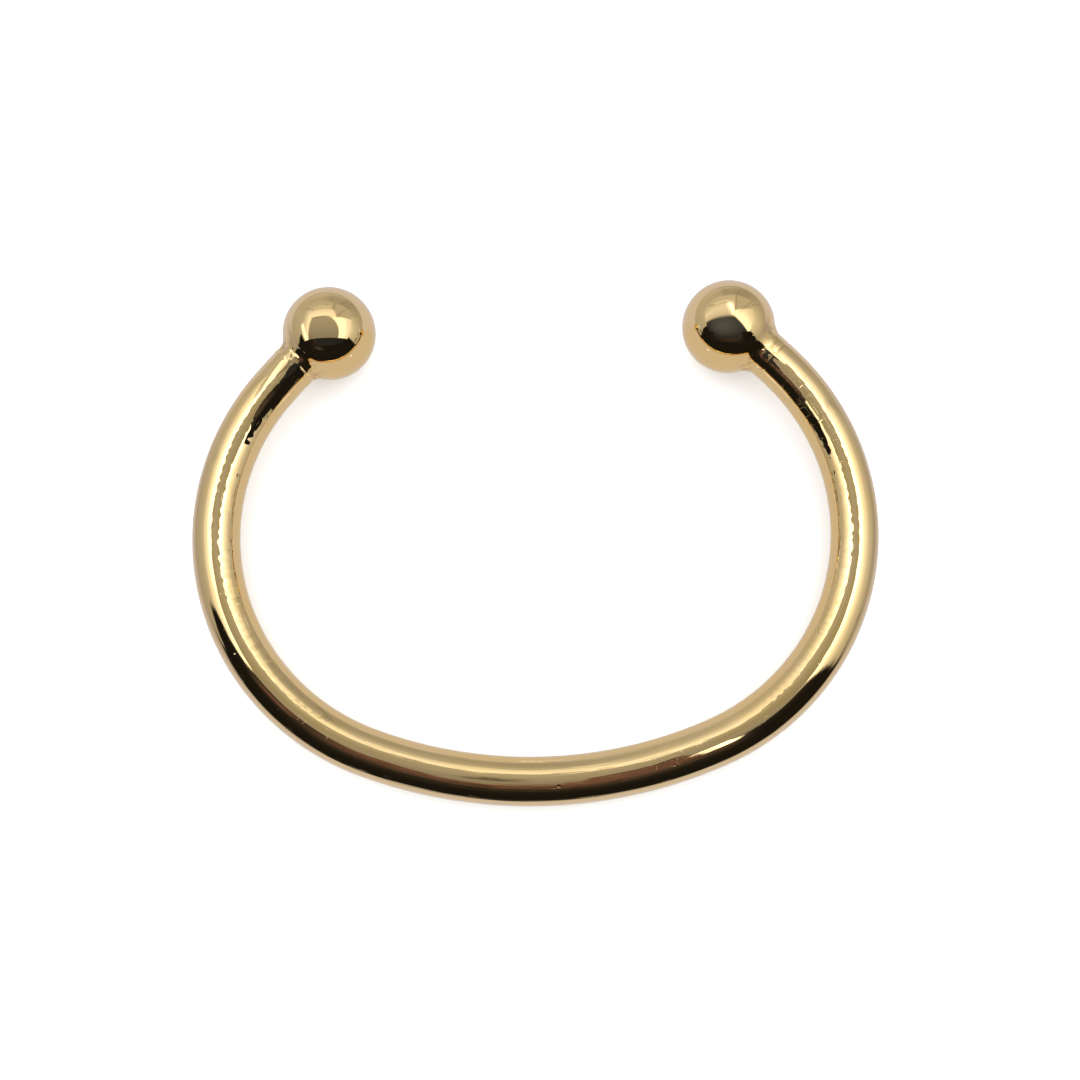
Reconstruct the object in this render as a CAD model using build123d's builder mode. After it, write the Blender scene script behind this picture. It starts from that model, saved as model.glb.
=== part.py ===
from build123d import *
import math
import os

# Torque bangle: one round bar bent to an open oval hoop, a solid ball soldered on each end.
# It lies as it rests by itself: the underside of the hoop's front and of both balls on Z = 0.
# X runs across the hoop, +Y from the hoop's front to the balls, +Z up.

# Driving dimensions, in millimetres and degrees
bar_diameter = 5.0
ball_diameter = 10.1
right_solder_fillet = 1.8
left_solder_fillet = 1.1

# The bar's centreline, from the middle of the front round one side to the centre of its ball
front_radius = 48.2
front_angle = 21.9
side_radius = 25.2
side_angle = 108.3
# Each arm straightens a little before its ball, the left one more, so it reaches further
right_arm_radius = 34.0
right_arm_angle = 14.1
left_arm_radius = 60.0
left_arm_angle = 8.1

bar_radius = bar_diameter / 2
ball_radius = ball_diameter / 2


def arm_reach(arm_radius, arm_angle):
    """Distance in the hoop's plane from the front of the centreline to a ball's centre."""
    side_start = math.radians(front_angle)
    arm_start = math.radians(front_angle + side_angle)
    arm_end = math.radians(front_angle + side_angle + arm_angle)
    front = front_radius * (1 - math.cos(side_start))
    side = side_radius * (math.cos(side_start) - math.cos(arm_start))
    arm = arm_radius * (math.cos(arm_start) - math.cos(arm_end))
    return front + side + arm


right_reach = arm_reach(right_arm_radius, right_arm_angle)
left_reach = arm_reach(left_arm_radius, left_arm_angle)

# The balls are thicker than the bar, so they lift their end of the hoop
lift = math.asin((ball_radius - bar_radius) / right_reach)

# The footprint runs from the front of the bar to the back of the left ball
depth = bar_radius + left_reach * math.cos(lift) + ball_radius
front_y = bar_radius - depth / 2

hoop_plane = Plane(
    origin=(0, front_y, bar_radius),
    x_dir=(1, 0, 0),
    z_dir=(0, -math.sin(lift), math.cos(lift)),
)


def half_hoop(side, arm_radius, arm_angle):
    """Tangent arcs from the middle of the front to one ball: side is 1 right, -1 left."""
    front = JernArc((0, 0), (side, 0), front_radius, side * front_angle)
    bend = JernArc(front @ 1, front % 1, side_radius, side * side_angle)
    arm = JernArc(bend @ 1, bend % 1, arm_radius, side * arm_angle)
    return arm @ 1


with BuildLine(hoop_plane) as centreline:
    right_end = half_hoop(1, right_arm_radius, right_arm_angle)
    left_end = half_hoop(-1, left_arm_radius, left_arm_angle)

with BuildPart() as torque_bangle:
    # The round bar, swept both ways from the middle of the front
    add(centreline)
    with BuildSketch(Plane(origin=hoop_plane.origin, z_dir=(1, 0, 0))):
        Circle(bar_radius)
    sweep()
    # The balls
    with Locations(right_end, left_end):
        Sphere(ball_radius)
    # The solder that fills the corner where the bar runs into each ball, right neck first
    right_neck = torque_bangle.edges().filter_by(GeomType.BSPLINE).sort_by(Axis.X)[-1]
    fillet(right_neck, right_solder_fillet)
    left_neck = torque_bangle.edges().filter_by(GeomType.BSPLINE).sort_by(Axis.X)[0]
    fillet(left_neck, left_solder_fillet)

torque_bangle.part.label = "torque_bangle"
os.makedirs("parts", exist_ok=True)
export_step(torque_bangle.part, "parts/torque_bangle.step")
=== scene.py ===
import math

import bmesh
import bpy
import numpy as np
from mathutils import Matrix, Vector, noise


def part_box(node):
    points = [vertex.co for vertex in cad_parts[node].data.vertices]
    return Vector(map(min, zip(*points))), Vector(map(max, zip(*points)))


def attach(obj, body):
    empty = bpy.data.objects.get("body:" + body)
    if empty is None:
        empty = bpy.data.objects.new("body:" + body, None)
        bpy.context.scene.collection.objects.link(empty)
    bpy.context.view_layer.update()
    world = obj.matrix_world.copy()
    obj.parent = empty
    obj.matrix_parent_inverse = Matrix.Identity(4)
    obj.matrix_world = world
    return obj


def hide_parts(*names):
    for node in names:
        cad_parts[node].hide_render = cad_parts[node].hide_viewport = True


# A polished gold torque bangle lying on a pale floor in a small light tent.
# Lengths are in metres. X runs across the hoop, +Y from its front to the balls, +Z up.

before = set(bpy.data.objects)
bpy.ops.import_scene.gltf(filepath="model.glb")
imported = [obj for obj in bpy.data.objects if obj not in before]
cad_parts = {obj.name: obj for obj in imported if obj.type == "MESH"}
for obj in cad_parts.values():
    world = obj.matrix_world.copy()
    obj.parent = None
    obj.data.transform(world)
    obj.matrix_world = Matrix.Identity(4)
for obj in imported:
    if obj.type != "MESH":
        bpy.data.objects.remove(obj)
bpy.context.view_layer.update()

MM = 0.001

# The bangle's sizes, the same as the solid's
BAR_RADIUS = 2.5 * MM
BALL_RADIUS = 5.05 * MM
FRONT_ARC = (48.2 * MM, math.radians(21.9))
SIDE_ARC = (25.2 * MM, math.radians(108.3))
RIGHT_ARM_ARC = (34.0 * MM, math.radians(14.1))
LEFT_ARM_ARC = (60.0 * MM, math.radians(8.1))
RIGHT_ARCS = (FRONT_ARC, SIDE_ARC, RIGHT_ARM_ARC)
LEFT_ARCS = (FRONT_ARC, SIDE_ARC, LEFT_ARM_ARC)

# How far the solder creeps up the bar and the ball from the corner between them
RIGHT_SOLDER = 0.84 * MM
LEFT_SOLDER = 0.53 * MM

# The solder's relief, in millimetres: the left joint has a ragged lip and lumps, the right one a
# smooth collar and a fine groove. Places are along the bar from its front.
LEFT_LIP = -68.9
LIP_WANDER = 0.45
LIP_HEIGHT, LIP_WIDTH = 0.045, 0.25
LUMP_MIDDLE, LUMP_REACH = 0.9, 0.85
LARGE_LUMP, SMALL_LUMP = 0.10, 0.05
RIGHT_GROOVE = 68.1
GROOVE_WANDER = 0.25
GROOVE_DEPTH, GROOVE_WIDTH = 0.035, 0.12
COLLAR_HEIGHT, COLLAR_WIDTH, COLLAR_MIDDLE = 0.025, 0.45, 0.6

# Mesh spacing along the bar, near the solder, and the sides round the bar
BAR_STEP = 0.30 * MM
NECK_STEP = 0.09 * MM
NECK_LENGTH = 8.0 * MM
ROUND_SIDES = 96
BALL_RINGS = 40

# Steps of the search for the soldered surface
HALVINGS = 40

# The gold's wear. Lengths and heights are in millimetres, and places on the unrolled bar are along
# it from its front and round it from its top, outward positive.
STRIP_START, STRIP_END = (21.0, 27.0), (66.0, 69.5)
STRIP_INNER_EDGE, STRIP_OUTER_EDGE = (-2.5, -1.9), (-0.35, 0.15)
RIPPLE_HEIGHT = 0.024
WAVE_HEIGHT = 0.05
LINE_HEIGHT = 0.0022
DRAWN_HEIGHT = 0.017
TICK_LEAN = 0.35
HAIR_DEPTH, TICK_DEPTH = 0.0025, 0.003
PIT_SPACING, PIT_DEPTH = 2.4, 0.02
DUST_SPACING = 0.9
JOINT_PLACE = 69.9
MARKS = (
    # place, half length and half width, height
    ((1.5, 0.83), (0.32, 0.22), -0.05),
    ((1.0, 0.95), (0.9, 0.10), -0.012),
    ((-35.1, 1.0), (0.16, 0.16), -0.04),
    ((-37.7, -1.6), (2.0, 0.07), -0.010),
    ((-58.7, -3.4), (0.35, 0.30), -0.03),
    ((-57.6, -3.5), (0.30, 0.25), -0.03),
    ((-6.3, -0.1), (3.5, 0.22), 0.012),
    ((5.7, 0.65), (3.2, 0.12), -0.008),
    ((63.7, -0.65), (0.10, 0.6), -0.010),
    ((59.3, -1.0), (0.12, 0.7), -0.010),
    ((61.0, -0.9), (1.6, 0.06), -0.008),
)
WARM_GOLD = (0.945, 0.69, 0.325, 1.0)
PALE_GOLD = (0.93, 0.695, 0.355, 1.0)
GRIME_COLOUR = (0.42, 0.28, 0.13, 1.0)

# The light tent round the bangle. Angles are in degrees, roof and ring angles are measured from
# straight up, and every level is linear light.
TENT_RADIUS = 300.0 * MM
TENT_BACK = (
    # angle round, roof edge, ring's outer edge, fade below it, ring level, wall level, foot level
    (-22.0, 33.0, 54.0, 9.0, 2.8, 0.55, 0.41),
    (0.0, 27.0, 56.0, 9.0, 2.8, 0.57, 0.45),
    (30.0, 22.0, 53.0, 8.0, 3.2, 0.48, 0.43),
    (60.0, 17.0, 39.0, 6.0, 2.8, 0.36, 0.36),
    (80.0, 17.0, 33.0, 10.0, 1.2, 0.38, 0.50),
    (104.0, 22.0, 34.0, 14.0, 1.12, 0.45, 0.60),
    (120.0, 16.0, 43.0, 10.0, 2.8, 0.47, 0.54),
    (150.0, 22.5, 52.0, 7.0, 2.8, 0.51, 0.49),
    (180.0, 28.0, 48.0, 7.0, 2.8, 0.46, 0.43),
    (202.0, 32.0, 48.0, 7.0, 2.8, 0.44, 0.40),
)
TENT_FRONT = (
    # angle round, angle down to the roof's lip, warm glow beyond it
    (185.0, 33.0, 0.01),
    (205.0, 28.0, 0.02),
    (216.0, 25.0, 0.04),
    (226.0, 25.0, 0.11),
    (245.0, 27.0, 0.15),
    (258.0, 31.0, 0.17),
    (275.0, 31.0, 0.17),
    (288.0, 13.0, 0.14),
    (306.0, 13.0, 0.12),
    (311.0, 15.0, 0.05),
    (315.0, 36.0, 0.02),
    (333.0, 37.0, 0.02),
    (360.0, 37.0, 0.02),
)
# A warmer patch in the dark, seen in the right arm's inner side: angle round, angle down, glow
TENT_EMBER = (207.0, 38.0, 0.12)
# Creases in the cloth, where bands of painted shade darken the warm glow, in degrees below the roof's
# lip
SHADED_CREASES = (4.0, 12.0, 21.0, 29.0)
TENT_SEAMS = (
    # angle round at the top, at the foot, from this far down, to this far down, half width, depth
    (78.0, 66.0, 17.0, 88.0, 0.9, 0.30),
    (92.0, 88.0, 40.0, 88.0, 4.0, 0.12),
    (42.0, 34.0, 24.0, 88.0, 0.9, 0.25),
    (56.0, 52.0, 34.0, 80.0, 0.8, 0.15),
    (124.0, 138.0, 24.0, 80.0, 1.0, 0.22),
    (150.0, 152.0, 44.0, 84.0, 0.8, 0.12),
)
ROD_PLACE, ROD_WIDTH, ROD_DEPTH = 44.0, 1.3, 0.13
ROOF_LEVEL = 0.405
ROOF_RISE = 0.09
ROOF_SIDE_TINT = (0.10, 0.12, 0.25)
RING_RISE = 0.003
SOFT_EDGE = 0.9
WARM_TINT = (1.35, 0.78, 0.72)
DARK_LEVEL = 0.011
# A bright slit in the dark opening, and the angles round where the opening's two sides stand
SLIT_AZIMUTH = 309.0
SLIT_HALF_WIDTH = 3.4
SLIT_LEVEL = 3.0
OPENING_LEFT, OPENING_RIGHT = 194.0, 336.5
OPENING_BULGE = 10.0
# The tent's wall is a grid of points, from overhead to just under the floor
TENT_ROWS, TENT_COLUMNS = 230, 400

# A small painted card hangs over each ball: it glows, is seen only in the gold, and carries the tent's
# panel, ring light and wall as a painted reflection in the ball. Its pattern is laid out in card units
# from the ball's middle, u to the right and v to the back.
CARD_HEIGHT = 7.0 * MM
CARD_UNIT = 0.686 * MM
CARD_BACK = -0.42 * MM
CARD_SIDE = 0.13 * MM
CARD_FAR_SIDE = 8.5
CARD_STEP = 0.14
CARD_ROWS = 110
# Lines on the cards, each from its start to its end
LEFT_PANEL_SIDE = ((-8.1, -6.0), (-4.6, 0.6))
LEFT_PANEL_STREAK = ((-3.6, 1.1), (-0.5, 1.2))
LEFT_LAMP_TOP = ((3.2, 1.2), (10.0, 2.6))
LEFT_WALL_SIDE = ((3.2, 1.2), (2.2, 4.3))
RIGHT_PANEL_SIDE = ((10.0, -9.3), (0.6, -0.7))
RIGHT_BAND_LAMP = ((-0.4, 3.0), (0.7, -0.3))
RIGHT_BAND_STREAK = ((-5.5, 4.7), (-0.8, 4.7))
RIGHT_LAMP_TOP = ((0.8, 0.8), (6.0, 2.4))
RIGHT_WALL_SIDE = ((0.6, 0.6), (2.6, 9.0))
CARD_WALL_LEVEL = 0.53
LEFT_CARD_SEAMS = (
    # start, end, half width, depth
    ((-4.4, 4.2), (2.2, 4.2), 0.3, 0.25),
    ((-4.2, 4.3), (-9.0, 8.2), 0.3, 0.30),
    ((2.2, 4.2), (3.2, 8.5), 0.5, 0.25),
    ((3.4, 1.7), (8.5, 7.2), 0.28, 0.25),
    ((0.0, 6.2), (0.0, 6.3), 0.35, 0.35),
)
RIGHT_CARD_SEAMS = (
    ((-6.0, 4.0), (-0.5, 4.0), 0.3, 0.20),
    ((0.9, 1.5), (2.6, 9.0), 0.3, 0.30),
    ((2.0, 0.2), (8.5, 6.5), 0.3, 0.25),
    ((-5.8, 4.6), (-10.5, 7.0), 0.3, 0.25),
)
# Shades hang a little above the cards' height, in front of them and beside the arms
SHADE_TINT = (0.85, 1.0, 1.4)
BALL_SHADE_RISE = 0.1 * MM
ARM_SHADE_RISE = 0.2 * MM
SHADE_GRID = 30
ARM_SHADE_GRID = 60
# The shades beside the arms: v, and the u where the shade's near edge lies there
LEFT_ARM_EDGE = ((-19.7, -16.6, -15.6, -13.0, -10.4), (-5.0, -5.6, -7.5, -8.0, -5.5))
RIGHT_ARM_EDGE = ((-22.7, -20.3, -17.0, -15.5), (2.0, 5.8, 4.8, 2.0))

# The mirrored paper's light, its painted warm bounce light from the gold inside the hoop, and where
# the paper ends in front, in millimetres
PAPER_LIGHT = (0.665, 0.665, 0.78)
HOLLOW_BOUNCE_TINT = (0.01, 0.06, 0.20)
PAPER_FRONT = -37.0


def along(arcs, distance):
    """Point and heading in the hoop's plane, that far along the centreline from its front."""
    x = y = heading = 0.0
    for radius, angle in arcs:
        turn = min(distance / radius, angle)
        x += radius * (math.sin(heading + turn) - math.sin(heading))
        y += radius * (math.cos(heading) - math.cos(heading + turn))
        heading += turn
        distance -= turn * radius
    return x, y, heading


def path_length(arcs):
    return sum(radius * angle for radius, angle in arcs)


RIGHT_LENGTH = path_length(RIGHT_ARCS)
LEFT_LENGTH = path_length(LEFT_ARCS)
RIGHT_BALL = np.array(along(RIGHT_ARCS, RIGHT_LENGTH)[:2] + (0.0,))
LEFT_BALL = np.array(along(LEFT_ARCS, LEFT_LENGTH)[:2] + (0.0,)) * (-1.0, 1.0, 1.0)

# The hoop's plane: its front lies on the floor, the balls lift the other end
LIFT = math.asin((BALL_RADIUS - BAR_RADIUS) / RIGHT_BALL[1])
FRONT_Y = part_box("torque_bangle")[0][1] + BAR_RADIUS
HOOP_TO_WORLD = Matrix.Translation((0.0, FRONT_Y, BAR_RADIUS)) @ Matrix.Rotation(LIFT, 4, "X")


def ring_stations():
    """Signed distances from the front, left negative: close together near the two solder joints."""
    stations = []
    for length, sign in ((LEFT_LENGTH, -1.0), (RIGHT_LENGTH, 1.0)):
        plain = length - NECK_LENGTH
        steps = round(plain / BAR_STEP)
        half = [plain * i / steps for i in range(steps)]
        steps = round(NECK_LENGTH / NECK_STEP)
        half += [plain + NECK_LENGTH * i / steps for i in range(steps + 1)]
        stations += [sign * distance for distance in half[1 if sign < 0 else 0:]]
    return sorted(stations)


def rings_along_bar(stations):
    """Centres, tangents and outward normals of the rings, in the hoop's plane."""
    centres, tangents, outwards = [], [], []
    for distance in stations:
        side = 1.0 if distance >= 0 else -1.0
        x, y, heading = along(RIGHT_ARCS if side > 0 else LEFT_ARCS, abs(distance))
        centres.append((side * x, y, 0.0))
        tangents.append((math.cos(heading), side * math.sin(heading), 0.0))
        outwards.append((side * math.sin(heading), -math.cos(heading), 0.0))
    return np.array(centres), np.array(tangents), np.array(outwards)


def soldered_radius(centres, outwards, ball, solder, angles):
    """Distance from each ring's centre, in each direction, to the bar and ball with solder between."""
    directions = (
        np.cos(angles)[None, :, None] * outwards[:, None, :]
        + np.sin(angles)[None, :, None] * np.array((0.0, 0.0, 1.0))
    )
    low = np.full(directions.shape[:2], 0.5 * BAR_RADIUS)
    high = np.full(directions.shape[:2], 1.5 * BALL_RADIUS)
    for _ in range(HALVINGS):
        middle = (low + high) / 2
        points = centres[:, None, :] + directions * middle[..., None]
        to_bar = middle - BAR_RADIUS
        to_ball = np.linalg.norm(points - ball, axis=2) - BALL_RADIUS
        inside = solder - np.hypot(np.maximum(solder - to_bar, 0), np.maximum(solder - to_ball, 0))
        outside = np.maximum(solder, np.minimum(to_bar, to_ball)) - solder + inside
        low = np.where(outside < 0, middle, low)
        high = np.where(outside < 0, high, middle)
    return (low + high) / 2


def left_joint_relief(distance, angle):
    """Lumpy solder with a ragged raised lip, in metres above the smooth joint."""
    s, around = distance / MM, angle * BAR_RADIUS / MM
    round_place = (1.3 * math.cos(angle), 1.3 * math.sin(angle))
    lip = LEFT_LIP + LIP_WANDER * noise.noise(Vector((*round_place, 3.0)))
    rise = LIP_HEIGHT * math.exp(-(((s - lip) / LIP_WIDTH) ** 2))
    lumps = LARGE_LUMP * noise.noise(Vector((s / 0.85, around / 0.9, 7.0)))
    lumps += SMALL_LUMP * noise.noise(Vector((s / 0.35, around / 0.4, 1.0)))
    near = math.exp(-(((s - lip + LUMP_MIDDLE) / LUMP_REACH) ** 4))
    return (rise + lumps * near) * MM


def right_joint_relief(distance, angle):
    """A smooth collar of solder with a fine groove round it."""
    s = distance / MM
    groove = RIGHT_GROOVE + GROOVE_WANDER * math.sin(angle + 0.6)
    collar = COLLAR_HEIGHT * math.exp(-(((s - groove - COLLAR_MIDDLE) / COLLAR_WIDTH) ** 2))
    return (collar - GROOVE_DEPTH * math.exp(-(((s - groove) / GROOVE_WIDTH) ** 2))) * MM


def bangle_mesh():
    """One closed skin: the bar's rings, and the far half of each ball as rings and a pole."""
    stations = np.array(ring_stations())
    centres, tangents, outwards = rings_along_bar(stations)
    angles = np.arange(ROUND_SIDES) * 2 * math.pi / ROUND_SIDES
    radii = np.full((len(stations), ROUND_SIDES), BAR_RADIUS)
    for ball, solder, near, relief in (
        (LEFT_BALL, LEFT_SOLDER, stations < -(LEFT_LENGTH - NECK_LENGTH), left_joint_relief),
        (RIGHT_BALL, RIGHT_SOLDER, stations > RIGHT_LENGTH - NECK_LENGTH, right_joint_relief),
    ):
        radii[near] = soldered_radius(centres[near], outwards[near], ball, solder, angles)
        radii[near] += [[relief(s, angle) for angle in angles] for s in stations[near]]
    up = np.array((0.0, 0.0, 1.0))
    skin = (
        centres[:, None, :]
        + radii[..., None] * np.cos(angles)[None, :, None] * outwards[:, None, :]
        + radii[..., None] * np.sin(angles)[None, :, None] * up
    )
    rings = list(skin)
    places = [
        np.stack([np.full(ROUND_SIDES, s), reach * np.cos(angles), reach * np.sin(angles)], axis=-1)
        for s, reach in zip(stations, radii)
    ]
    # The far half of each ball, from its widest ring to just short of the pole
    for end, ball, forward in ((0, LEFT_BALL, -1.0), (-1, RIGHT_BALL, 1.0)):
        axis = forward * tangents[end]
        cap, cap_places = [], []
        for i in range(1, BALL_RINGS):
            latitude = math.pi / 2 * i / BALL_RINGS
            middle = ball + axis * BALL_RADIUS * math.sin(latitude)
            reach = BALL_RADIUS * math.cos(latitude)
            cap.append(
                middle
                + reach * np.cos(angles)[:, None] * outwards[end]
                + reach * np.sin(angles)[:, None] * up
            )
            s = np.full(ROUND_SIDES, stations[end] + forward * BALL_RADIUS * math.sin(latitude))
            cap_places.append(np.stack([s, reach * np.cos(angles), reach * np.sin(angles)], axis=-1))
        rings = cap[::-1] + rings if forward < 0 else rings + cap
        places = cap_places[::-1] + places if forward < 0 else places + cap_places
    poles = [
        LEFT_BALL - tangents[0] * BALL_RADIUS,
        RIGHT_BALL + tangents[-1] * BALL_RADIUS,
    ]
    pole_places = [(stations[0] - BALL_RADIUS, 0.0, 0.0), (stations[-1] + BALL_RADIUS, 0.0, 0.0)]
    places = np.concatenate([np.array(places).reshape(-1, 3), pole_places])
    return np.array(rings), poles, places / MM


def skin_object(name, rings, poles, places):
    """The skin as an object. Its material finds each point on the bar by "bar_place": millimetres
    along the bar, and outward and upward from its axis."""
    count, sides = rings.shape[:2]
    verts = [tuple(v) for v in rings.reshape(-1, 3)] + [tuple(p) for p in poles]
    faces = []
    for i in range(count - 1):
        for j in range(sides):
            k = (j + 1) % sides
            faces.append((i * sides + j, (i + 1) * sides + j, (i + 1) * sides + k, i * sides + k))
    first_pole, last_pole = count * sides, count * sides + 1
    last = (count - 1) * sides
    for j in range(sides):
        k = (j + 1) % sides
        faces.append((first_pole, j, k))
        faces.append((last_pole, last + k, last + j))
    mesh = bpy.data.meshes.new(name)
    mesh.from_pydata(verts, [], faces)
    mesh.transform(HOOP_TO_WORLD)
    layer = mesh.attributes.new("bar_place", "FLOAT_VECTOR", "POINT")
    layer.data.foreach_set("vector", places.ravel())
    work = bmesh.new()
    work.from_mesh(mesh)
    bmesh.ops.recalc_face_normals(work, faces=work.faces)
    work.to_mesh(mesh)
    work.free()
    mesh.shade_smooth()
    piece = bpy.data.objects.new(name, mesh)
    bpy.context.collection.objects.link(piece)
    return piece


class NodeBoard:
    """Short ways to lay shader nodes and join them."""

    def __init__(self, material):
        material.use_nodes = True
        self.nodes, self.links = material.node_tree.nodes, material.node_tree.links

    def node(self, kind, inputs, **settings):
        made = self.nodes.new(kind)
        for name, value in settings.items():
            setattr(made, name, value)
        for socket, value in inputs.items():
            if isinstance(value, bpy.types.NodeSocket):
                self.links.new(value, made.inputs[socket])
            else:
                made.inputs[socket].default_value = value
        return made

    def calc(self, operation, *values):
        """One sum, laid as a math node."""
        return self.node("ShaderNodeMath", dict(enumerate(values)), operation=operation).outputs[0]

    def product(self, first, *others):
        for other in others:
            first = self.calc("MULTIPLY", first, other)
        return first

    def mix(self, share, first, second):
        """The first colour at share 0, the second at 1."""
        inputs = {0: share, 6: first, 7: second}
        return self.node("ShaderNodeMix", inputs, data_type="RGBA").outputs[2]

    def ramp(self, value, low, high, first=0.0, last=1.0):
        """first below low, last above high, and a smooth step between."""
        inputs = {0: value, 1: low, 2: high, 3: first, 4: last}
        return self.node("ShaderNodeMapRange", inputs, interpolation_type="SMOOTHSTEP").outputs[0]

    def vector(self, x, y, z):
        return self.node("ShaderNodeCombineXYZ", {0: x, 1: y, 2: z}).outputs[0]

    def noise(self, place, size, detail=2.0):
        """Noise from about -0.5 to 0.5, its grains as large as size."""
        size = size if isinstance(size, tuple) else (size, size, size)
        share = tuple(1.0 / part for part in size)
        scaled = self.node("ShaderNodeVectorMath", {0: place, 1: share}, operation="MULTIPLY")
        inputs = {"Vector": scaled.outputs[0], "Scale": 1.0, "Detail": detail}
        return self.calc("SUBTRACT", self.node("ShaderNodeTexNoise", inputs).outputs[0], 0.5)

    def cells(self, place, spacing):
        """Distance to the nearest of many scattered points, as a share of their spacing."""
        inputs = {"Vector": place, "Scale": 1.0 / spacing}
        return self.node("ShaderNodeTexVoronoi", inputs).outputs["Distance"]

    def spot(self, place, middle, size, height):
        """A soft bump or dent of this height, round a point of the unrolled bar."""
        share = (1.0 / size[0], 1.0 / size[1], 0.0)
        inputs = {0: place, 1: (-middle[0], -middle[1], 0.0)}
        moved = self.node("ShaderNodeVectorMath", inputs, operation="ADD").outputs[0]
        inputs = {0: moved, 1: share}
        scaled = self.node("ShaderNodeVectorMath", inputs, operation="MULTIPLY").outputs[0]
        reach = self.node("ShaderNodeVectorMath", {0: scaled}, operation="LENGTH").outputs["Value"]
        return self.ramp(reach, 0.0, 1.0, height, 0.0)

    def total(self, first, *others):
        for other in others:
            first = self.calc("ADD", first, other)
        return first


def gold_material():
    """Polished yellow gold with wear: lines along the bar, a rippled strip, scratches and pits.
    Heights are in millimetres, places on the unrolled bar are along it and round it from its top."""
    material = bpy.data.materials.new("polished_gold")
    board = NodeBoard(material)
    place = board.node("ShaderNodeAttribute", {}, attribute_name="bar_place").outputs["Vector"]
    parts = board.node("ShaderNodeSeparateXYZ", {0: place}).outputs
    along_bar = parts[0]
    round_bar = board.product(board.calc("ARCTAN2", parts[1], parts[2]), BAR_RADIUS / MM)
    unrolled = board.vector(along_bar, round_bar, 0.0)
    from_front = board.calc("ABSOLUTE", along_bar)
    on_bar = board.ramp(from_front, 67.5, 70.0, 1.0, 0.0)

    # The strip inside the arms that a tool has left rippled
    strip = board.product(
        board.ramp(from_front, *STRIP_START),
        board.ramp(from_front, *STRIP_END, 1.0, 0.0),
        board.ramp(round_bar, *STRIP_INNER_EDGE),
        board.ramp(round_bar, *STRIP_OUTER_EDGE, 1.0, 0.0),
    )
    ripple = board.product(board.noise(unrolled, (0.8, 1.2, 1.0), 0.0), RIPPLE_HEIGHT, strip)

    # Slow waves from polishing, fine lines along the bar, and coarser ones drawn at its front
    waves = board.product(board.noise(place, 4.5, 1.0), WAVE_HEIGHT)
    lines = board.product(board.noise(unrolled, (14.0, 0.16, 1.0), 3.0), LINE_HEIGHT)
    front_mask = board.ramp(from_front, 17.0, 24.0, 1.0, 0.15)
    drawn = board.noise(unrolled, (9.0, 0.28, 1.0), 2.0)
    drawn = board.product(drawn, DRAWN_HEIGHT, front_mask, on_bar)

    # Hairlines along the bar in worn patches, and short ticks across it, most on the right arm
    worn_patch = board.ramp(board.noise(place, 7.0, 1.0), -0.02, 0.10)
    hairs = board.ramp(board.noise(unrolled, (5.0, 0.12, 1.0), 1.0), 0.17, 0.21)
    hairs = board.product(hairs, worn_patch, on_bar)
    leaning = board.total(along_bar, board.product(round_bar, TICK_LEAN))
    slanted = board.vector(leaning, round_bar, 5.0)
    ticks = board.ramp(board.noise(slanted, (0.10, 1.3, 1.0), 1.0), 0.19, 0.24)
    right_arm = board.product(
        board.ramp(along_bar, 50.0, 58.0), board.ramp(along_bar, 65.0, 67.0, 1.0, 0.0)
    )
    elsewhere = board.ramp(board.noise(place, 9.0, 1.0), 0.08, 0.14)
    ticks = board.product(ticks, board.calc("MAXIMUM", right_arm, elsewhere), on_bar)

    near_pit = board.cells(place, PIT_SPACING)
    pits = board.ramp(near_pit, 0.015, 0.045, 1.0, 0.0)
    near_dust = board.cells(place, DUST_SPACING)
    dust = board.ramp(near_dust, 0.03, 0.07, 1.0, 0.0)

    marks = [board.spot(unrolled, middle, size, height) for middle, size, height in MARKS]
    worn = board.total(board.product(hairs, -HAIR_DEPTH), board.product(ticks, -TICK_DEPTH))
    sunk = board.product(pits, -PIT_DEPTH)
    height = board.total(ripple, waves, lines, drawn, worn, sunk, *marks)
    bump = board.node("ShaderNodeBump", {"Strength": 1.0, "Distance": MM, "Height": height})

    roughness = board.total(
        board.ramp(board.noise(place, 2.0, 3.0), -0.15, 0.15, 0.012, 0.032),
        board.product(board.calc("MAXIMUM", hairs, ticks), 0.05),
        board.product(dust, 0.4),
    )
    joint = board.calc("ABSOLUTE", board.calc("SUBTRACT", from_front, JOINT_PLACE))
    grime = board.product(
        board.ramp(joint, 0.2, 1.0, 1.0, 0.0),
        board.ramp(board.noise(place, 0.6, 2.0), -0.10, 0.10),
    )
    grime = board.calc("MAXIMUM", board.product(grime, 0.35), board.product(pits, 0.6))
    tone = board.ramp(board.noise(place, 5.0, 3.0), -0.15, 0.15)
    colour = board.mix(grime, board.mix(tone, WARM_GOLD, PALE_GOLD), GRIME_COLOUR)
    shader = board.nodes["Principled BSDF"]
    shader.inputs["Metallic"].default_value = 1.0
    board.links.new(colour, shader.inputs["Base Color"])
    board.links.new(roughness, shader.inputs["Roughness"])
    board.links.new(bump.outputs["Normal"], shader.inputs["Normal"])
    return material


def ease(low, high, value):
    """0 at low, 1 at high and beyond, and a smooth change between them."""
    part = np.clip((value - low) / (high - low), 0.0, 1.0)
    return part * part * (3.0 - 2.0 * part)


def bell(distance, width):
    """1 at no distance, fading to 0 on both sides over about the width."""
    return np.exp(-((distance / width) ** 2))


def across(table, column, azimuth):
    """A column of the table, read between its rows by the angle round."""
    rows = np.array(table, dtype=float)
    return np.interp(azimuth, rows[:, 0], rows[:, column])


def warm_tint(glow):
    """No tint where there is no glow, and the full warm tint from a tenth upward."""
    return 1.0 + (np.array(WARM_TINT) - 1.0) * np.clip(glow / 0.10, 0.0, 1.0)[..., None]


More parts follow.
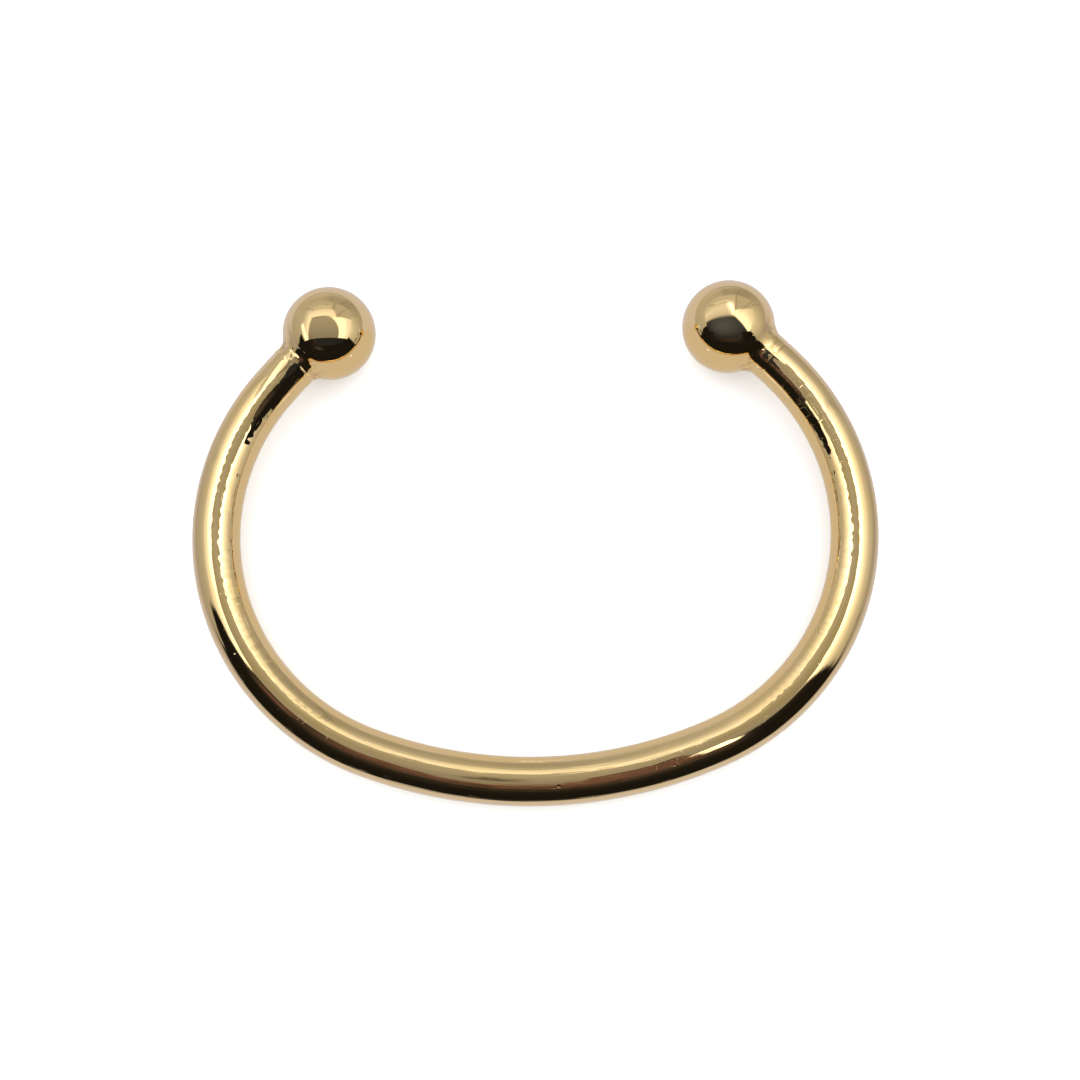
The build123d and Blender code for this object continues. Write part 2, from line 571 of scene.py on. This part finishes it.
def tent_back_light(zenith, azimuth, roof):
    """The closed part of the tent: the roof, the bright ring below it, and the seamed wall."""
    turned = np.mod(azimuth + 90.0, 360.0) - 90.0
    roof_edge, ring_edge, fade, ring, wall, foot = (across(TENT_BACK, k, turned) for k in range(1, 7))
    glow = np.where(
        zenith > ring_edge,
        (1.0 - wall) * np.exp(-(zenith - ring_edge) / fade),
        (1.0 - wall) + RING_RISE * (ring_edge - zenith) ** 2,
    )
    lit = np.minimum(wall + (foot - wall) * ease(72.0, 90.0, zenith) + glow, ring)
    for top_turn, foot_turn, top, low, half_width, depth in TENT_SEAMS:
        middle = top_turn + (foot_turn - top_turn) * (zenith - top) / (low - top)
        aside = (turned - middle) * np.sin(np.radians(zenith))
        shown = ease(top, top + 3.0, zenith) * (1.0 - ease(low - 8.0, low, zenith))
        lit = lit * (1.0 - depth * shown * bell(aside, half_width))
    # Two stretches of a rod in the cloth, a little darker than the ring
    rod = ease(-10.0, 0.0, turned) * (1.0 - ease(30.0, 45.0, turned))
    rod = rod + ease(130.0, 140.0, turned) * (1.0 - ease(165.0, 175.0, turned))
    lit = lit * (1.0 - ROD_DEPTH * rod * bell(zenith - ROD_PLACE, ROD_WIDTH))
    beyond = ease(-SOFT_EDGE, SOFT_EDGE, zenith - roof_edge)
    side = np.abs(np.cos(np.radians(azimuth))) * ease(3.0, 10.0, zenith)
    tone = 1.0 - side[..., None] * np.array(ROOF_SIDE_TINT)
    return (roof * (1.0 - beyond))[..., None] * tone + (lit * beyond)[..., None]


def tent_front_light(zenith, azimuth, roof):
    """The open part: the roof's flap with painted shade in a fold, and dark below it with a warm glow,
    painted shade along creases, and a slit.
    """
    around = np.mod(azimuth, 360.0)
    lip, warmth = (across(TENT_FRONT, k, around) for k in (1, 2))
    warmth = warmth * np.exp(-1.6 * (np.maximum(zenith - 28.0, 0.0) / 26.0) ** 2) + DARK_LEVEL
    turn, down, glow = TENT_EMBER
    warmth = warmth + glow * bell(around - turn, 7.0) * bell(zenith - down, 8.0)
    # Painted shade along each crease halves the warm glow there
    for down in SHADED_CREASES:
        shaded_crease = lip + down + 0.5 * np.sin(np.radians(11.0 * around + 40.0 * down))
        warmth = warmth * (1.0 - 0.5 * bell(zenith - shaded_crease, 1.5))
    tint = warm_tint(warmth)
    # Painted shade in a fold of the roof's flap
    fold_shade = bell(around - 254.0, 7.0) * ease(5.0, 9.0, zenith) * (1.0 - ease(16.0, 20.0, zenith))
    flap = roof * (1.0 - 0.7 * fold_shade)
    beyond = ease(-SOFT_EDGE, SOFT_EDGE, zenith - lip)[..., None]
    front = flap[..., None] * (1.0 - beyond) + warmth[..., None] * tint * beyond
    slit = np.exp(-((around - SLIT_AZIMUTH) / SLIT_HALF_WIDTH) ** 4)
    slit = slit * ease(24.0, 27.0, zenith) * (1.0 - ease(36.0, 44.0, zenith))
    return front + SLIT_LEVEL * slit[..., None]


def tent_light(zenith, azimuth):
    """Colour of the tent's inside, by the angle from straight up and the angle round from +X."""
    backward = zenith * np.sin(np.radians(azimuth)) / 20.0
    roof = ROOF_LEVEL + ROOF_RISE * np.clip(backward, -1.3, 1.3)
    back = tent_back_light(zenith, azimuth, roof)
    front = tent_front_light(zenith, azimuth, roof)

    # The opening's sides are ragged, and the left one bulges out two thirds of the way down
    ragged = 0.9 * np.sin(1.4 * zenith) + 0.7 * np.sin(2.9 * zenith + 1.0)
    left_side = OPENING_LEFT - OPENING_BULGE * np.exp(-((zenith - 60.0) / 18.0) ** 4) + ragged
    right_side = OPENING_RIGHT - ragged
    around = np.mod(azimuth, 360.0)
    around = np.where(around < 180.0, around + 360.0, around)
    opening = ease(-1.0, 1.0, around - left_side) * (1.0 - ease(-1.0, 1.0, around - right_side))
    return back * (1.0 - opening[..., None]) + front * opening[..., None]


def tent_floor_light(x, y):
    """Colour of the floor as the gold mirrors it, in painted light: the paper, painted darker far out
    and warmer inside the hoop with the gold's bounce, and the dark cloth in front of it.
    """
    x, y = x / MM, y / MM
    # Painted shade: the mirrored paper grows darker far from the bangle and a little darker to the
    # right
    far = ease(36.0, 57.0, np.hypot(x, np.minimum(y, 0.0))) * ease(38.0, 24.0, y)
    far = 0.36 * far + 0.30 * ease(70.0, 160.0, np.hypot(x, y)) * (1.0 - far)
    level = 1.0 - far - 0.05 * ease(20.0, 90.0, x)
    # Painted warm bounce light from the gold, inside the hoop
    inside = 1.0 - ease(0.9, 1.1, np.hypot(x / 34.0, y / 27.0))
    paper = np.array(PAPER_LIGHT) * level[..., None]
    paper = paper * (1.0 - np.array(HOLLOW_BOUNCE_TINT) * inside[..., None])
    edge = PAPER_FRONT + 0.0065 * np.minimum(np.abs(x), 50.0) ** 2
    edge = edge - 0.35 * np.clip(x - 50.0, 0.0, 40.0)
    cloth = ease(-3.0, 3.0, edge - y)[..., None]
    return paper * (1.0 - cloth) + DARK_LEVEL * cloth


def stroke(u, v, start, end, width):
    """1 on the line from start to end, fading to 0 over about its width."""
    (x0, y0), (x1, y1) = start, end
    dx, dy = x1 - x0, y1 - y0
    part = np.clip(((u - x0) * dx + (v - y0) * dy) / (dx * dx + dy * dy), 0.0, 1.0)
    return bell(np.hypot(u - x0 - part * dx, v - y0 - part * dy), width)


def left_of(u, v, start, end):
    """Distance to the left of the line from start to end, less than 0 on its right."""
    (x0, y0), (x1, y1) = start, end
    dx, dy = x1 - x0, y1 - y0
    return (dx * (v - y0) - dy * (u - x0)) / math.hypot(dx, dy)


def left_card_light(u, v):
    """A grey panel, the bright ring round it, the wall behind and its seams."""
    leaning = left_of(u, v, *LEFT_PANEL_SIDE)
    rounded = np.hypot((u + 0.6) / 5.2, (v + 5.2) / 6.75) * 5.2 - 5.2
    outside = np.maximum(np.maximum(leaning, v - 1.35), np.where(u > -0.6, rounded, -9.0))
    beyond = ease(-0.25, 0.25, outside)
    outside = np.maximum(outside, 0.0)
    panel = 0.44 - 0.024 * (1.3 - v) - 0.10 * stroke(u, v, *LEFT_PANEL_STREAK, 0.35)
    ring = 0.52 + 0.64 * bell(outside, 3.1)
    lamp = 1.0 + 0.6 * bell(np.maximum(outside - 1.5, 0.0), 2.6)
    over_lamp = left_of(u, v, *LEFT_LAMP_TOP)
    lamp_side = ease(0.6, 2.4, u) * (1.0 - ease(-0.2, 0.2, over_lamp))
    level = ring * (1.0 - lamp_side) + lamp * lamp_side
    wall = ease(-0.15, 0.15, -left_of(u, v, *LEFT_WALL_SIDE))
    wall = wall * ease(-0.2, 0.2, over_lamp) * ease(1.8, 2.2, u)
    level = level * (1.0 - wall) + CARD_WALL_LEVEL * wall
    # A bright strip on the card's left, mirrored in the bar beside the ball
    level = level + 0.9 * ease(-8.4, -9.2, u) * ease(-12.2, -11.4, u) * ease(1.3, 0.0, v)
    for start, end, width, depth in LEFT_CARD_SEAMS:
        level = level * (1.0 - depth * stroke(u, v, start, end, width))
    return (panel * (1.0 - beyond) + level * beyond)[..., None] * np.ones(3)


def left_shade_light(u, v):
    """Dark cloth, a trace paler in its middle."""
    dark = 0.016 + 0.012 * bell(u, 7.0) * bell(v + 9.0, 5.0)
    return dark[..., None] * np.array(SHADE_TINT)


def right_card_light(u, v):
    """A dark panel with a slanted right side, a pale band and a lamp beside it, and a seamed wall."""
    over = v + 0.55 + 0.007 * np.minimum(u + 3.0, 0.0) ** 2
    beside = -left_of(u, v, *RIGHT_PANEL_SIDE)
    beyond = np.maximum(ease(-0.7, 0.6, over), ease(-0.3, 0.3, beside))[..., None]
    dark = 0.02 + 0.085 * bell(u + 3.0, 7.0) * bell(v + 3.5, 4.5)
    panel = dark[..., None] * np.array(SHADE_TINT)
    band = 0.60 + 0.28 * bell(v - 2.2, 2.2) + 1.5 * stroke(u, v, *RIGHT_BAND_LAMP, 0.75)
    band = band * (1.0 + 0.25 * stroke(u, v, *RIGHT_BAND_STREAK, 0.5))
    lamp = 0.85 + 0.9 * bell(np.maximum(beside, 0.0), 3.2)
    over_lamp = ease(-0.3, 0.3, left_of(u, v, *RIGHT_LAMP_TOP))
    lamp_side = CARD_WALL_LEVEL * over_lamp + lamp * (1.0 - over_lamp)
    turn = ease(-0.2, 0.2, -left_of(u, v, *RIGHT_WALL_SIDE))
    level = band * (1.0 - turn) + lamp_side * turn
    for start, end, width, depth in RIGHT_CARD_SEAMS:
        level = level * (1.0 - depth * stroke(u, v, start, end, width))
    return panel * (1.0 - beyond) + level[..., None] * beyond


def glowing_object(name, points, colours, wrap_rows):
    """A grid of points that gives off its own colours, seen in the gold and nowhere else."""
    rows, columns = points.shape[:2]
    faces = []
    for i in range(rows - 1):
        for j in range(columns if wrap_rows else columns - 1):
            k = (j + 1) % columns
            near, far = i * columns, (i + 1) * columns
            faces.append((near + j, near + k, far + k, far + j))
    mesh = bpy.data.meshes.new(name)
    mesh.from_pydata([tuple(p) for p in points.reshape(-1, 3)], [], faces)
    layer = mesh.color_attributes.new("light", "FLOAT_COLOR", "POINT")
    flat = np.concatenate([colours.reshape(-1, 3), np.ones((rows * columns, 1))], axis=1)
    layer.data.foreach_set("color", flat.ravel())
    material = bpy.data.materials.new(name)
    material.use_nodes = True
    nodes, links = material.node_tree.nodes, material.node_tree.links
    nodes.remove(nodes["Principled BSDF"])
    source = nodes.new("ShaderNodeAttribute")
    source.attribute_name = "light"
    glow = nodes.new("ShaderNodeEmission")
    links.new(source.outputs["Color"], glow.inputs["Color"])
    links.new(glow.outputs["Emission"], nodes["Material Output"].inputs["Surface"])
    material.cycles.emission_sampling = "NONE"
    mesh.materials.append(material)
    thing = bpy.data.objects.new(name, mesh)
    bpy.context.collection.objects.link(thing)
    thing.visible_camera = False
    thing.visible_diffuse = False
    thing.visible_transmission = False
    thing.visible_volume_scatter = False
    thing.visible_shadow = False


def light_tent():
    """The tent's wall as a dome, and its floor as a disc with wider rings far out."""
    zenith = np.linspace(0.02, 91.0, TENT_ROWS)[:, None]
    azimuth = (np.arange(TENT_COLUMNS) * 360.0 / TENT_COLUMNS)[None, :]
    zenith, azimuth = np.broadcast_arrays(zenith, azimuth)
    ring = np.sin(np.radians(zenith))
    points = TENT_RADIUS * np.stack([
        ring * np.cos(np.radians(azimuth)),
        ring * np.sin(np.radians(azimuth)),
        np.cos(np.radians(zenith)),
    ], axis=-1)
    glowing_object("tent_wall", points, tent_light(zenith, azimuth), True)
    reach = np.concatenate([np.arange(1, 60) * 1.5, 90.0 * 1.08 ** np.arange(17)]) * MM
    azimuth = np.radians(np.arange(120) * 3.0)
    x, y = reach[:, None] * np.cos(azimuth), reach[:, None] * np.sin(azimuth)
    points = np.stack([x, y, np.zeros_like(x)], axis=-1)
    glowing_object("tent_floor", points, tent_floor_light(x, y), True)


def hang(name, ball, aside, u, v, above, colours):
    """A small glowing cloth near a ball, its points given in card units from the ball's middle."""
    middle = HOOP_TO_WORLD @ Vector(ball)
    points = np.stack([
        middle.x + aside + CARD_UNIT * u,
        middle.y + CARD_BACK + CARD_UNIT * v,
        np.full(u.shape, middle.z + CARD_HEIGHT + above),
    ], axis=-1)
    glowing_object(name, points, colours, False)


def ball_cards():
    """A card over each ball, its front edge curved on the left one."""
    for name, ball, aside, light, low, high, front_middle, dip in (
        ("left_card", LEFT_BALL, CARD_SIDE, left_card_light, -14.0, 11.5, -5.7, 0.017),
        ("right_card", RIGHT_BALL, -CARD_SIDE, right_card_light, -13.0, 8.5, -6.6, 0.0),
    ):
        u = np.arange(low, high, CARD_STEP)
        share = np.linspace(0.0, 1.0, CARD_ROWS)[:, None]
        front = front_middle - dip * u * u
        v = front + (CARD_FAR_SIDE - front) * share
        u = np.broadcast_to(u, v.shape)
        hang(name, ball, aside, u, v, 0.0, light(u, v))


def ball_shades():
    """Dark cloth in front of each card, so that the balls' lower half mirrors no glow."""
    for name, ball, aside, light, low, high in (
        ("left_shade", LEFT_BALL, CARD_SIDE, left_shade_light, -4.5, 9.0),
        ("right_shade", RIGHT_BALL, -CARD_SIDE, right_card_light, -9.0, 3.5),
    ):
        u = np.linspace(low, high, SHADE_GRID)
        u, v = np.meshgrid(u, np.linspace(-10.4, -5.0, SHADE_GRID))
        hang(name, ball, aside, u, v, BALL_SHADE_RISE, light(u, v))


def arm_shades():
    """Dark cloths over the hollow, seen in the arms' inner sides beside the balls. Each runs from
    its near edge to the straight far side at u = reach."""
    for name, ball, aside, edge, reach, slope, glow in (
        ("left_arm_shade", LEFT_BALL, CARD_SIDE, LEFT_ARM_EDGE, 16.0, -0.2, 0.06),
        ("right_arm_shade", RIGHT_BALL, -CARD_SIDE, RIGHT_ARM_EDGE, -14.0, 0.06, 0.0),
    ):
        low, high = edge[0][0], edge[0][-1]
        share = np.linspace(0.0, 1.0, ARM_SHADE_GRID)
        v = low + (high - low) * share[:, None]
        side = np.interp(v, *edge)
        u = side + (reach - side) * share[None, :]
        v = v + slope * (u - side) * (high - v) / (high - low)
        warm = glow * bell(u + 5.5, 2.4) * bell(v + 14.2, 2.2)
        tint = warm_tint(warm)
        hang(name, ball, aside, u, v, ARM_SHADE_RISE, (warm + DARK_LEVEL)[..., None] * tint)


def floor():
    """Pale paper under the bangle. The gold mirrors the tent's own floor in its place."""
    bpy.ops.mesh.primitive_plane_add(size=3.0, location=(0, 0, 0))
    plane = bpy.context.object
    plane.name = "floor"
    material = bpy.data.materials.new("floor_paper")
    board = NodeBoard(material)
    place = board.node("ShaderNodeTexCoord", {}).outputs["Object"]
    grain = board.noise(place, 0.4 * MM, 3.0)
    cloudy = board.ramp(board.noise(place, 60.0 * MM), -0.2, 0.2)
    colour = board.mix(cloudy, (0.79, 0.79, 0.79, 1.0), (0.81, 0.81, 0.80, 1.0))
    inputs = {"Strength": 0.3, "Distance": 0.02 * MM, "Height": grain}
    shader = board.nodes["Principled BSDF"]
    board.links.new(colour, shader.inputs["Base Color"])
    board.links.new(board.ramp(grain, -0.2, 0.2, 0.85, 0.95), shader.inputs["Roughness"])
    board.links.new(board.node("ShaderNodeBump", inputs).outputs["Normal"], shader.inputs["Normal"])
    plane.data.materials.append(material)
    plane.visible_glossy = False


def camera():
    """Looks down on the bangle from its front, a little left of the middle."""
    aim = Vector((0.40, -0.59, 4.0)) * MM
    azimuth, elevation, roll = math.radians(-2.0), math.radians(73.0), math.radians(0.35)
    distance = 168.94 * MM
    back = Vector((
        math.sin(azimuth) * math.cos(elevation),
        -math.cos(azimuth) * math.cos(elevation),
        math.sin(elevation),
    ))
    data = bpy.data.cameras.new("camera")
    data.sensor_width = 36.0
    data.lens = 53.33
    data.clip_start, data.clip_end = 0.01, 10.0
    eye = bpy.data.objects.new("camera", data)
    turn = (-back).to_track_quat("-Z", "Y").to_matrix().to_4x4()
    eye.matrix_world = Matrix.Translation(aim + back * distance) @ turn @ Matrix.Rotation(roll, 4, "Z")
    bpy.context.collection.objects.link(eye)
    bpy.context.scene.camera = eye


def room():
    """Even white light from all sides."""
    world = bpy.data.worlds.new("room")
    bpy.context.scene.world = world
    world.use_nodes = True
    background = world.node_tree.nodes["Background"]
    background.inputs["Color"].default_value = (1.0, 1.0, 1.0, 1.0)
    background.inputs["Strength"].default_value = 2.1


bangle = skin_object("polished_bangle", *bangle_mesh())
bangle.data.materials.append(gold_material())
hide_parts("torque_bangle")
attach(bangle, "root")

floor()
light_tent()
ball_cards()
ball_shades()
arm_shades()
camera()
room()
bpy.context.scene.view_settings.view_transform = "Standard"
